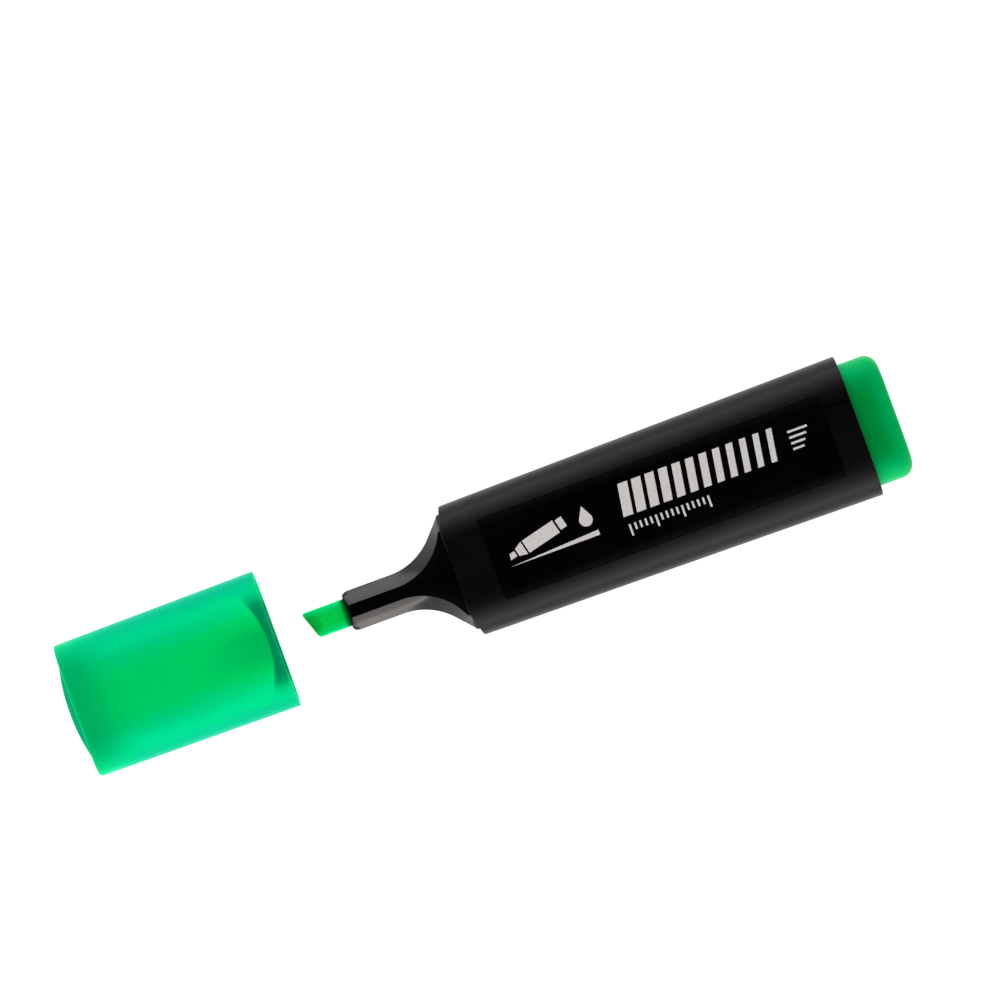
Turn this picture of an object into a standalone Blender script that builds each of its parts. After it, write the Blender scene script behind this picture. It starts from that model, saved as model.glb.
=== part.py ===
"""Flat highlighter pen with its cap pulled off, lying on its flat face.

Run with: blender --background --python part.py

The pen's axis is along X with +X towards the tail, Y runs across the width and +Z is up,
through the label face. The origin is on the surface that the pen lies on, at the middle
of the whole length. Pen pieces are drawn from the barrel's front edge, where local X is 0
and the nose lies at negative X. Cap pieces are drawn from the cap's mouth in the same way.
"""
import math

import bmesh
import bpy

MM = 0.001

# Lengths along the axis
CAP_LENGTH = 36.9 * MM
MOUTH_TO_NIB = 5.2 * MM
NIB_REACH = 7.5 * MM
NOSE_LENGTH = 19.3 * MM
BARREL_LENGTH = 72.0 * MM
PLUG_REACH = 6.5 * MM
LENGTH = CAP_LENGTH + MOUTH_TO_NIB + NIB_REACH + NOSE_LENGTH + BARREL_LENGTH + PLUG_REACH

# The flat oval that the barrel, the cap and the plug share
HALF_HEIGHT = 7.5 * MM
FLAT_HALF = 4.0 * MM
SIDE_EXPONENT = 2.6
SECTION_STEPS = 10

# Barrel
BARREL_FRONT_HALF = 11.45 * MM
BARREL_REAR_HALF = 12.35 * MM
BARREL_WALL = 1.3 * MM
BOW_DEPTH = 1.1 * MM
BOW_START = 7.5 * MM
BOW_POWER = 1.1
BOW_FADE = 5.5 * MM
FRONT_EDGE_ROUND = 0.3 * MM
REAR_EDGE_ROUND = 0.15 * MM
RIB_SIZE = (52.0 * MM, 1.2 * MM, 1.2 * MM)
RIB_START = 10.0 * MM
RIB_TIP_HEIGHT = 5.3 * MM
RIB_SPACING = 3.5 * MM
GATE_RADIUS = 1.2 * MM
GATE_DEPTH = 0.3 * MM
GATE_PLACE = 61.0 * MM

# Label and the recess that it sits in
LABEL_START = 6.5 * MM
LABEL_END = 67.0 * MM
LABEL_HALF = 7.0 * MM
LABEL_CORNER = 0.9 * MM
LABEL_PROUD = 0.05 * MM
LABEL_THICKNESS = 0.15 * MM
RECESS_DEPTH = 0.35 * MM
RECESS_MARGIN = 0.15 * MM
FACE_POINTS = 8

# Nose: a straight neck that flares out to a rim against the barrel
NECK_HALF = 3.45 * MM
NECK_HALF_HEIGHT = 3.3 * MM
FLARE_LENGTH = 10.4 * MM
FLARE_RADIUS = 11.45 * MM
FLARE_STEPS = 9
RIM_HALF = 10.2 * MM
RIM_HALF_HEIGHT = 5.95 * MM
RIM_THICKNESS = 0.35 * MM
RIM_GAP = 0.15 * MM
SLOPE_POWER = 1.8
NECK_BAND = 2.35 * MM
RIM_BAND = 2.7 * MM
NECK_BAND_DROP = 2.1 * MM
RIM_BAND_DROP = 2.5 * MM
BAND_BULGE = 0.14 * MM
RIM_CROWN = 0.55 * MM
STRIP_STEPS = 3
BAND_STEPS = 5
SIDE_STEPS = 3
TIP_ROUND_LENGTH = 1.3 * MM
TIP_LIP = (0.15 * MM, 0.3 * MM)
TIP_POWER = 5.0
SKIRT_LENGTH = 8.0 * MM
SKIRT_HALF = 9.65 * MM
SKIRT_HALF_HEIGHT = 5.85 * MM
SKIRT_WALL = 1.2 * MM
BORE_CLEARANCE = 0.18 * MM
BORE_CORNER = 0.5 * MM

# Nib
NIB_HALF_WIDTH = 2.4 * MM
NIB_HALF_HEIGHT = 1.5 * MM
NIB_CORNER = 0.45 * MM
NIB_TAIL = 16.0 * MM
NIB_SLANT = 1.65 * MM
NIB_BEVEL_LENGTH = 3.3 * MM
NIB_EDGE_HALF_HEIGHT = 0.4 * MM

# Ink reservoir and its film sheath
CORE_START = 8.4 * MM
CORE_END = 62.0 * MM
CORE_HALF = 7.6 * MM
CORE_HALF_HEIGHT = 4.6 * MM
CORE_EDGE = 0.5 * MM
POCKET_END = 16.6 * MM
SHEATH_GAP = 0.15 * MM
SHEATH_WALL = 0.25 * MM

# Tail plug
PLUG_HALF = 10.8 * MM
PLUG_HALF_HEIGHT = 5.95 * MM
PLUG_ROUND = 2.3 * MM
PLUG_FACE_ROUND = 1.6 * MM
PLUG_ROUND_STEPS = 5
PLUG_WALL = 1.3 * MM
PLUG_DEPTH = 9.5 * MM
PLUG_SKIRT_HALF = 10.65 * MM

# Cap
CAP_END_HALF = 11.65 * MM
CAP_MOUTH_HALF = 12.0 * MM
CAP_WALL = 0.95 * MM
CAP_RIM_SETBACK = 1.25 * MM
CAP_RIM_ROUND = 0.4 * MM
CAP_RIM_WIDTH = 1.0 * MM
CAP_GROOVE_SETBACK = 1.45 * MM
CAP_DOME_HALF = 9.8 * MM
CAP_DOME_HALF_HEIGHT = 5.6 * MM
CAP_DOME_STEPS = 5
CAP_END_INSIDE = 2.9 * MM
CAP_INNER_ROUND = 0.8 * MM
CAP_MOUTH_ROUND = 0.12 * MM
LAND_RADIUS = 17.0 * MM
LAND_SETBACK = 1.3 * MM
LAND_DEPTH = 0.3 * MM

# Seal sleeve inside the cap, pushed over a boss on the end wall
BOSS_RADIUS = 3.55 * MM
BOSS_LENGTH = 2.6 * MM
SLEEVE_RADIUS = 4.9 * MM
SLEEVE_BORE = 3.95 * MM
SLEEVE_BEAD = 3.82 * MM
SLEEVE_BEAD_LENGTH = 0.8 * MM
SLEEVE_LENGTH = 21.6 * MM
SLEEVE_GAP = 0.3 * MM

# Where the two frames sit in the world
CAP_MOUTH_X = -LENGTH / 2 + CAP_LENGTH
BARREL_FRONT_X = LENGTH / 2 - PLUG_REACH - BARREL_LENGTH


# ---------------------------------------------------------------- cross-sections

def full_loop(quarter):
    """Mirror a quarter outline, which runs from the top middle to the side, all the way round."""
    lower = [(y, -z) for y, z in reversed(quarter[:-1])]
    far_lower = [(-y, -z) for y, z in quarter[1:]]
    far_upper = [(-y, z) for y, z in reversed(quarter[1:-1])]
    return quarter + lower + far_lower + far_upper


def oval_quarter(half_width, half_height, flat=FLAT_HALF):
    """Flat top that turns down into a soft side."""
    power = 2 / SIDE_EXPONENT
    quarter = [(0.0, half_height)]
    for step in range(SECTION_STEPS):
        turn = math.pi / 2 * step / SECTION_STEPS
        y = flat + (half_width - flat) * math.sin(turn) ** power
        quarter.append((y, half_height * math.cos(turn) ** power))
    quarter.append((half_width, 0.0))
    return quarter


def oval(half_width, half_height, flat=FLAT_HALF):
    return full_loop(oval_quarter(half_width, half_height, flat))


def rounded_box(half_width, half_height, corner):
    """Rectangle with round corners and the same number of points as the oval."""
    quarter = [(0.0, half_height)]
    for step in range(SECTION_STEPS):
        turn = math.pi / 2 * step / (SECTION_STEPS - 1)
        y = half_width - corner + corner * math.sin(turn)
        quarter.append((y, half_height - corner + corner * math.cos(turn)))
    quarter.append((half_width, 0.0))
    return full_loop(quarter)


def circle(radius):
    """Round section with the same number of points as the oval."""
    count = SECTION_STEPS + 1
    turns = [math.pi / 2 * step / count for step in range(count)]
    quarter = [(radius * math.sin(turn), radius * math.cos(turn)) for turn in turns]
    return full_loop(quarter + [(radius, 0.0)])


def nose_section(half_width, half_height, spread):
    """Flat strip, slanted band and upright side, with a crease between the strip and the band.

    spread is 0 at the neck and 1 at the rim, where the strip is crowned like the barrel.
    """
    band = NECK_BAND + (RIM_BAND - NECK_BAND) * spread
    drop = NECK_BAND_DROP + (RIM_BAND_DROP - NECK_BAND_DROP) * spread
    crown = RIM_CROWN * spread ** 2
    crease_y = half_width - band
    crease_z = half_height - crown
    quarter = []
    for step in range(STRIP_STEPS + 1):
        part = step / STRIP_STEPS
        quarter.append((crease_y * part, half_height - crown * part ** 2))
    for step in range(1, BAND_STEPS + 1):
        part = step / BAND_STEPS
        bulge = BAND_BULGE * math.sin(math.pi * part)
        quarter.append((crease_y + band * part + bulge * (1 - part), crease_z - drop * part + bulge))
    side_top = crease_z - drop
    for step in range(1, SIDE_STEPS + 1):
        quarter.append((half_width, side_top * (1 - step / SIDE_STEPS)))
    return full_loop(quarter)


def tip_section(share):
    """Outline of the neck, drawn a share of the way in to the lip round the nib's bore."""
    lip_half = NIB_HALF_WIDTH + BORE_CLEARANCE + TIP_LIP[0]
    lip_half_height = NIB_HALF_HEIGHT + BORE_CLEARANCE + TIP_LIP[1]
    section = []
    for y, z in nose_section(NECK_HALF, NECK_HALF_HEIGHT, 0.0):
        powers = abs(y / lip_half) ** TIP_POWER + abs(z / lip_half_height) ** TIP_POWER
        scale = 1 - share * (1 - powers ** (-1 / TIP_POWER))
        section.append((y * scale, z * scale))
    return section


def edge_bow(y):
    """How far the barrel's front edge falls back at a distance y from the middle."""
    reach = max(0.0, abs(y) - BOW_START) / (BARREL_FRONT_HALF - BOW_START)
    return BOW_DEPTH * reach ** BOW_POWER


def barrel_half_width(x):
    return BARREL_FRONT_HALF + (BARREL_REAR_HALF - BARREL_FRONT_HALF) * x / BARREL_LENGTH


def cap_half_width(x):
    return CAP_MOUTH_HALF + (CAP_MOUTH_HALF - CAP_END_HALF) * x / CAP_LENGTH


def ring(x, section, bow=0.0):
    """Stand a section up at x, bent back by a share of the barrel's front edge line."""
    return [(x + bow * edge_bow(y), y, z) for y, z in section]


# ---------------------------------------------------------------- meshes and objects

def loft_mesh(name, rings, endless=False):
    """Skin a row of rings. An endless row joins its last ring to its first, as a tube does."""
    mesh = bmesh.new()
    rows = [[mesh.verts.new(point) for point in points] for points in rings]
    count = len(rows[0])
    pairs = list(zip(rows, rows[1:]))
    if endless:
        pairs.append((rows[-1], rows[0]))
    else:
        mesh.faces.new(rows[0])
        mesh.faces.new(rows[-1])
    for near, far in pairs:
        for index in range(count):
            after = (index + 1) % count
            mesh.faces.new((near[index], near[after], far[after], far[index]))
    bmesh.ops.recalc_face_normals(mesh, faces=mesh.faces)
    if mesh.calc_volume(signed=True) < 0:
        bmesh.ops.reverse_faces(mesh, faces=mesh.faces)
    data = bpy.data.meshes.new(name)
    mesh.to_mesh(data)
    mesh.free()
    return data


def box_mesh(name, low, high, corner=0.0):
    """Box between two corners, with its upright edges rounded by corner."""
    mesh = bmesh.new()
    bmesh.ops.create_cube(mesh, size=1.0)
    for vert in mesh.verts:
        vert.co = [low[i] + (high[i] - low[i]) * (vert.co[i] + 0.5) for i in range(3)]
    if corner:
        upright = [edge for edge in mesh.edges
                   if abs(edge.verts[0].co.z - edge.verts[1].co.z) > 0.5 * (high[2] - low[2])]
        bmesh.ops.bevel(mesh, geom=upright, offset=corner, segments=4, profile=0.5, affect='EDGES')
    bmesh.ops.recalc_face_normals(mesh, faces=mesh.faces)
    data = bpy.data.meshes.new(name)
    mesh.to_mesh(data)
    mesh.free()
    return data


def cylinder_mesh(name, radius, depth, segments):
    """Upright cylinder, centred on its own origin."""
    mesh = bmesh.new()
    bmesh.ops.create_cone(mesh, cap_ends=True, segments=segments, radius1=radius,
                          radius2=radius, depth=depth)
    data = bpy.data.meshes.new(name)
    mesh.to_mesh(data)
    mesh.free()
    return data


def place(data, frame, group, location=(0.0, 0.0, 0.0)):
    """Make an object from a mesh and hang it on its frame."""
    item = bpy.data.objects.new(data.name, data)
    item.location = location
    item.parent = frame
    group.objects.link(item)
    return item


def finish_part(item, material, crease_degrees=28.0):
    """Give a part its material and smooth shading between sharp edges."""
    item.data.materials.append(material)
    item.data.shade_smooth()
    item.data.set_sharp_from_angle(angle=math.radians(crease_degrees))
    return item


def make_cutter(data, frame, group, location=(0.0, 0.0, 0.0)):
    item = place(data, frame, group, location)
    item.hide_render = True
    item.display_type = 'WIRE'
    return item


def combine(item, tool, operation):
    boolean = item.modifiers.new(operation.lower(), 'BOOLEAN')
    boolean.operation = operation
    boolean.solver = 'EXACT'
    boolean.object = tool


def plastic(name, colour, roughness):
    """Opaque plastic, film or fibre with one colour and roughness."""
    material = bpy.data.materials.new(name)
    material.use_nodes = True
    shader = material.node_tree.nodes["Principled BSDF"]
    shader.inputs["Base Color"].default_value = (*colour, 1.0)
    shader.inputs["Roughness"].default_value = roughness
    shader.inputs["Metallic"].default_value = 0.0
    material.diffuse_color = (*colour, 1.0)
    return material


# ---------------------------------------------------------------- pen pieces

def face_patch_mesh(name, low, high, start, end):
    """Layer over the barrel's label face, between two heights measured from that face."""
    rings = []
    for x in (start, end):
        upper = oval_quarter(barrel_half_width(x), HALF_HEIGHT)[:FACE_POINTS]
        across = [(-y, z) for y, z in reversed(upper[1:])] + upper
        top = [(x, y, z + high) for y, z in across]
        bottom = [(x, y, z + low) for y, z in reversed(across)]
        rings.append(top + bottom)
    return loft_mesh(name, rings)


def label_outline(name, margin, frame, cutters):
    """Upright block with the label's outline, grown by margin on every side."""
    low = (LABEL_START - margin, -LABEL_HALF - margin, 0.5 * HALF_HEIGHT)
    high = (LABEL_END + margin, LABEL_HALF + margin, 1.5 * HALF_HEIGHT)
    return make_cutter(box_mesh(name, low, high, LABEL_CORNER), frame, cutters)


def make_barrel(frame, parts, cutters, material):
    """Tapered tube, open at both ends, with a bowed front edge and ribs inside."""
    rear = BARREL_LENGTH

    def outer(x, inset=0.0):
        return oval(barrel_half_width(x) - inset, HALF_HEIGHT - inset)

    rings = [
        ring(0.0, outer(0.0, FRONT_EDGE_ROUND), bow=1.0),
        ring(0.3 * FRONT_EDGE_ROUND, outer(0.0, 0.3 * FRONT_EDGE_ROUND), bow=1.0),
        ring(FRONT_EDGE_ROUND, outer(FRONT_EDGE_ROUND), bow=1.0),
        ring(BOW_FADE, outer(BOW_FADE)),
        ring(rear - REAR_EDGE_ROUND, outer(rear - REAR_EDGE_ROUND)),
        ring(rear, outer(rear, REAR_EDGE_ROUND)),
        ring(rear, outer(rear, BARREL_WALL)),
        ring(BOW_FADE, outer(BOW_FADE, BARREL_WALL)),
        ring(0.0, outer(0.0, BARREL_WALL), bow=1.0),
    ]
    barrel = place(loft_mesh("barrel", rings, endless=True), frame, parts)

    for level in (-1, 1):
        for side in (-1, 1):
            low_z = RIB_TIP_HEIGHT if level > 0 else -RIB_TIP_HEIGHT - RIB_SIZE[2]
            low = (RIB_START, side * RIB_SPACING - RIB_SIZE[1] / 2, low_z)
            high = tuple(low[i] + RIB_SIZE[i] for i in range(3))
            rib = make_cutter(box_mesh("rib_block", low, high), frame, cutters)
            combine(barrel, rib, 'UNION')

    layer = face_patch_mesh("recess_layer", -RECESS_DEPTH, HALF_HEIGHT / 3,
                            LABEL_START - MM, LABEL_END + MM)
    recess = make_cutter(layer, frame, cutters)
    combine(recess, label_outline("recess_outline", RECESS_MARGIN, frame, cutters), 'INTERSECT')
    combine(barrel, recess, 'DIFFERENCE')

    gate = make_cutter(cylinder_mesh("gate_dimple", GATE_RADIUS, 2 * GATE_DEPTH, 24), frame,
                       cutters, (GATE_PLACE, 0.0, -HALF_HEIGHT))
    combine(barrel, gate, 'DIFFERENCE')
    return finish_part(barrel, material)


def make_front_label(frame, parts, cutters, material):
    """Thin film on the floor of the recess, standing a hair proud of the face."""
    data = face_patch_mesh("front_label", LABEL_PROUD - LABEL_THICKNESS, LABEL_PROUD,
                           LABEL_START - MM, LABEL_END + MM)
    label = place(data, frame, parts)
    combine(label, label_outline("label_outline", 0.0, frame, cutters), 'INTERSECT')
    return finish_part(label, material)


def nose_flare_rings():
    """Rings from the rim forward to the neck, along an arc in plan and a slope in height."""
    rings = []
    widest = math.asin(FLARE_LENGTH / FLARE_RADIUS)
    for step in range(FLARE_STEPS + 1):
        turn = widest * (1 - step / FLARE_STEPS)
        ahead = FLARE_LENGTH - FLARE_RADIUS * math.sin(turn)
        half_width = NECK_HALF + FLARE_RADIUS * (1 - math.cos(turn))
        spread = 1 - ahead / FLARE_LENGTH
        rise = (RIM_HALF_HEIGHT - NECK_HALF_HEIGHT) * spread ** SLOPE_POWER
        section = nose_section(half_width, NECK_HALF_HEIGHT + rise, spread)
        offset = (RIM_GAP + RIM_THICKNESS) * spread
        rings.append(ring(-ahead - offset, section, bow=spread ** 2))
    return rings


def make_nose(frame, parts, material):
    """Holder for the nib, hollow from end to end, with a skirt that plugs into the barrel."""
    tip_x = -NOSE_LENGTH
    rim = nose_section(RIM_HALF, RIM_HALF_HEIGHT, 1.0)
    rings = [
        ring(SKIRT_LENGTH, oval(SKIRT_HALF - 0.3 * MM, SKIRT_HALF_HEIGHT - 0.3 * MM)),
        ring(SKIRT_LENGTH - MM, oval(SKIRT_HALF, SKIRT_HALF_HEIGHT)),
        ring(-RIM_GAP, oval(SKIRT_HALF, SKIRT_HALF_HEIGHT - 0.3 * MM), bow=1.0),
        ring(-RIM_GAP, rim, bow=1.0),
    ]
    rings += nose_flare_rings()
    for turn in (0.0, 30.0, 60.0, 90.0):
        back = TIP_ROUND_LENGTH * (1 - math.sin(math.radians(turn)))
        rings.append(ring(tip_x + back, tip_section(1 - math.cos(math.radians(turn)))))
    bore = rounded_box(NIB_HALF_WIDTH + BORE_CLEARANCE, NIB_HALF_HEIGHT + BORE_CLEARANCE,
                       BORE_CORNER)
    hollow_start = -0.6 * FLARE_LENGTH
    hollow_mid = -0.3 * FLARE_LENGTH
    rings += [
        ring(tip_x, bore),
        ring(hollow_start, bore),
        ring(hollow_mid, oval(1.25 * NECK_HALF, 0.95 * NECK_HALF_HEIGHT, NECK_HALF / 2)),
        ring(0.0, oval(SKIRT_HALF - 1.3 * SKIRT_WALL, SKIRT_HALF_HEIGHT - 1.3 * SKIRT_WALL)),
        ring(SKIRT_LENGTH, oval(SKIRT_HALF - SKIRT_WALL, SKIRT_HALF_HEIGHT - SKIRT_WALL)),
    ]
    return finish_part(place(loft_mesh("nose", rings, endless=True), frame, parts), material)


def make_nib(frame, parts, material):
    """Felt bar with a chisel end, slanted across the width, and a tail in the reservoir."""
    tip_x = -NOSE_LENGTH - NIB_REACH

    def slanted(back, inset, half_height, slant=1.0):
        half_width = NIB_HALF_WIDTH - inset
        corner = min(NIB_CORNER, 0.8 * half_height)
        section = rounded_box(half_width, half_height, corner)
        return [(tip_x + back + slant * NIB_SLANT * (0.5 - 0.5 * y / NIB_HALF_WIDTH), y, z)
                for y, z in section]

    rings = [
        slanted(0.0, 0.25 * MM, 0.6 * NIB_EDGE_HALF_HEIGHT),
        slanted(0.12 * MM, 0.08 * MM, 0.9 * NIB_EDGE_HALF_HEIGHT),
        slanted(0.35 * MM, 0.0, NIB_EDGE_HALF_HEIGHT * 1.15),
        slanted(NIB_BEVEL_LENGTH, 0.0, NIB_HALF_HEIGHT - 0.06 * MM),
        slanted(NIB_BEVEL_LENGTH + 0.35 * MM, 0.0, NIB_HALF_HEIGHT),
        slanted(NIB_REACH + MM, 0.0, NIB_HALF_HEIGHT, slant=0.0),
        slanted(NIB_REACH + NOSE_LENGTH + NIB_TAIL - 0.5 * MM, 0.0, NIB_HALF_HEIGHT, slant=0.0),
        slanted(NIB_REACH + NOSE_LENGTH + NIB_TAIL, 0.3 * MM, NIB_HALF_HEIGHT - 0.3 * MM, slant=0.0),
    ]
    return finish_part(place(loft_mesh("nib", rings), frame, parts), material)


def make_reservoir_core(frame, parts, material):
    """Fibre bundle with a pocket in its front end for the nib's tail."""
    pocket = rounded_box(NIB_HALF_WIDTH + BORE_CLEARANCE, NIB_HALF_HEIGHT + BORE_CLEARANCE,
                         BORE_CORNER)
    edge = oval(CORE_HALF - CORE_EDGE, CORE_HALF_HEIGHT - CORE_EDGE)
    body = oval(CORE_HALF, CORE_HALF_HEIGHT)
    rings = [
        ring(CORE_END, edge),
        ring(CORE_END - CORE_EDGE, body),
        ring(CORE_START + CORE_EDGE, body),
        ring(CORE_START, edge),
        ring(CORE_START, pocket),
        ring(POCKET_END, pocket),
    ]
    return finish_part(place(loft_mesh("reservoir_core", rings), frame, parts), material)


def make_reservoir_sheath(frame, parts, material):
    """Film wrapped round the fibre bundle, open at both ends."""
    inner = oval(CORE_HALF + SHEATH_GAP, CORE_HALF_HEIGHT + SHEATH_GAP)
    reach = SHEATH_GAP + SHEATH_WALL
    outer = oval(CORE_HALF + reach, CORE_HALF_HEIGHT + reach)
    rings = [
        ring(CORE_START, outer),
        ring(CORE_END, outer),
        ring(CORE_END, inner),
        ring(CORE_START, inner),
    ]
    return finish_part(place(loft_mesh("reservoir_sheath", rings, endless=True), frame, parts),
                       material)


def make_tail_plug(frame, parts, material):
    """Cup pressed into the barrel's rear end, with a round-cornered head outside."""
    end = BARREL_LENGTH + PLUG_REACH
    skirt_end = BARREL_LENGTH - PLUG_DEPTH
    rings = []
    for step in range(PLUG_ROUND_STEPS + 1):
        turn = math.pi / 2 * (1 - step / PLUG_ROUND_STEPS)
        half_width = PLUG_HALF - PLUG_ROUND * (1 - math.cos(turn))
        half_height = PLUG_HALF_HEIGHT - PLUG_FACE_ROUND * (1 - math.cos(turn))
        rings.append(ring(end - PLUG_ROUND * (1 - math.sin(turn)), oval(half_width, half_height)))
    rings += [
        ring(BARREL_LENGTH - MM, oval(PLUG_HALF, PLUG_HALF_HEIGHT)),
        ring(skirt_end, oval(PLUG_SKIRT_HALF, PLUG_HALF_HEIGHT)),
        ring(skirt_end, oval(PLUG_SKIRT_HALF - PLUG_WALL, PLUG_HALF_HEIGHT - PLUG_WALL)),
        ring(end - PLUG_ROUND, oval(PLUG_HALF - PLUG_WALL, PLUG_HALF_HEIGHT - PLUG_WALL)),
        ring(end - PLUG_WALL, oval(PLUG_HALF - PLUG_ROUND, PLUG_HALF_HEIGHT - PLUG_FACE_ROUND)),
    ]
    return finish_part(place(loft_mesh("tail_plug", rings), frame, parts), material)


# ---------------------------------------------------------------- cap pieces

def cap_dome_rings():
    """Shallow dome on the closed end, from near its middle out to the groove round it."""
    rings = []
    first = 1 / CAP_DOME_STEPS
    for step in range(1, CAP_DOME_STEPS + 1):
        share = step / CAP_DOME_STEPS
        setback = CAP_GROOVE_SETBACK * (share ** 2 - first ** 2) / (1 - first ** 2)
        section = oval(CAP_DOME_HALF * share, CAP_DOME_HALF_HEIGHT * share, FLAT_HALF * share)
        rings.append(ring(-CAP_LENGTH + setback, section))
    return rings


def land_cutter(side, frame, cutters):
    """Block that mills the flat land beside the mouth, ending in an arc towards the mouth."""
    face_z = side * (HALF_HEIGHT - LAND_DEPTH)
    far_z = side * 1.5 * HALF_HEIGHT
    low = (-8 * MM, -CAP_MOUTH_HALF, min(face_z, far_z))
    high = (2 * MM, CAP_MOUTH_HALF, max(face_z, far_z))
    block = make_cutter(box_mesh("land_block", low, high), frame, cutters)
    disc = make_cutter(cylinder_mesh("land_arc", LAND_RADIUS, 4 * HALF_HEIGHT, 144), frame,
                       cutters, (-LAND_SETBACK - LAND_RADIUS, 0.0, 0.0))
    combine(block, disc, 'DIFFERENCE')
    return block


def make_cap_shell(frame, parts, cutters, material):
    """Deep cup with a domed end, a boss inside it for the sleeve and two milled lands."""
    end = -CAP_LENGTH
    rim = end + CAP_RIM_SETBACK
    floor = end + CAP_END_INSIDE
    rim_inset = CAP_RIM_ROUND + CAP_RIM_WIDTH

    def outer(x, inset=0.0):
        return oval(cap_half_width(x) - inset, HALF_HEIGHT - inset)

    rings = cap_dome_rings() + [
        ring(end + CAP_GROOVE_SETBACK, outer(end, rim_inset + 0.15 * MM)),
        ring(rim, outer(end, rim_inset)),
        ring(rim, outer(end, CAP_RIM_ROUND)),
        ring(rim + 0.3 * CAP_RIM_ROUND, outer(end, 0.3 * CAP_RIM_ROUND)),
        ring(rim + CAP_RIM_ROUND, outer(rim)),
        ring(-CAP_MOUTH_ROUND, outer(-CAP_MOUTH_ROUND)),
        ring(0.0, outer(0.0, CAP_MOUTH_ROUND)),
        ring(0.0, outer(0.0, CAP_WALL)),
        ring(floor + CAP_INNER_ROUND, outer(floor, CAP_WALL)),
        ring(floor, outer(floor, CAP_WALL + CAP_INNER_ROUND)),
        ring(floor, circle(BOSS_RADIUS)),
        ring(floor + BOSS_LENGTH, circle(BOSS_RADIUS)),
    ]
    shell = place(loft_mesh("cap_shell", rings), frame, parts)
    for side in (-1, 1):
        combine(shell, land_cutter(side, frame, cutters), 'DIFFERENCE')
    return finish_part(shell, material)


def make_cap_seal_sleeve(frame, parts, material):
    """Soft tube that closes round the neck, with a bead inside its open end."""
    start = -CAP_LENGTH + CAP_END_INSIDE + SLEEVE_GAP
    end = start + SLEEVE_LENGTH
    rings = [
        ring(start, circle(SLEEVE_RADIUS)),
        ring(end - 0.4 * MM, circle(SLEEVE_RADIUS)),
        ring(end, circle(SLEEVE_RADIUS - 0.4 * MM)),
        ring(end, circle(SLEEVE_BORE)),
        ring(end - SLEEVE_BEAD_LENGTH, circle(SLEEVE_BEAD)),
        ring(end - 2 * SLEEVE_BEAD_LENGTH, circle(SLEEVE_BORE)),
        ring(start, circle(SLEEVE_BORE)),
    ]
    return finish_part(place(loft_mesh("cap_seal_sleeve", rings, endless=True), frame, parts),
                       material)


# ---------------------------------------------------------------- assembly

def make_frame(name, x, group):
    """Empty on the pen's axis that carries one body's pieces."""
    frame = bpy.data.objects.new(name, None)
    frame.location = (x, 0.0, HALF_HEIGHT)
    frame.empty_display_size = 5 * MM
    group.objects.link(frame)
    return frame


def clear_scene():
    for item in list(bpy.data.objects):
        bpy.data.objects.remove(item, do_unlink=True)


def new_collection(name):
    group = bpy.data.collections.new(name)
    bpy.context.scene.collection.children.link(group)
    return group


def build():
    clear_scene()
    parts = new_collection("highlighter")
    cutters = new_collection("cutters")
    pen = make_frame("pen_frame", BARREL_FRONT_X, parts)
    cap = make_frame("cap_frame", CAP_MOUTH_X, parts)

    black = plastic("satin_black", (0.012, 0.012, 0.013), 0.42)
    gloss_black = plastic("gloss_black", (0.008, 0.008, 0.009), 0.15)
    film = plastic("label_film", (0.006, 0.006, 0.007), 0.25)
    felt = plastic("green_felt", (0.0, 0.52, 0.09), 0.85)
    fibre = plastic("inked_fibre", (0.05, 0.75, 0.2), 0.9)
    clear_film = plastic("clear_film", (0.82, 0.85, 0.84), 0.3)
    plug_green = plastic("opaque_green", (0.0, 0.3, 0.09), 0.35)
    cap_green = plastic("translucent_green", (0.0, 0.6, 0.2), 0.2)
    soft_green = plastic("soft_green", (0.03, 0.62, 0.24), 0.5)

    make_barrel(pen, parts, cutters, black)
    make_front_label(pen, parts, cutters, film)
    make_nose(pen, parts, gloss_black)
    make_nib(pen, parts, felt)
    make_reservoir_core(pen, parts, fibre)
    make_reservoir_sheath(pen, parts, clear_film)
    make_tail_plug(pen, parts, plug_green)
    make_cap_shell(cap, parts, cutters, cap_green)
    make_cap_seal_sleeve(cap, parts, soft_green)


build()
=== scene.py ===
"""Looks of a flat highlighter that lies beside its pulled-off cap.

Each visible piece is skinned again at a fine resolution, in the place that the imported
frame gives, and gets a procedural material. The pen's axis is along X with the nib at
negative X, Y runs across the width and the label faces +Z.
"""
import math

import bmesh
import bpy
from mathutils import Matrix, Vector, noise


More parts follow.
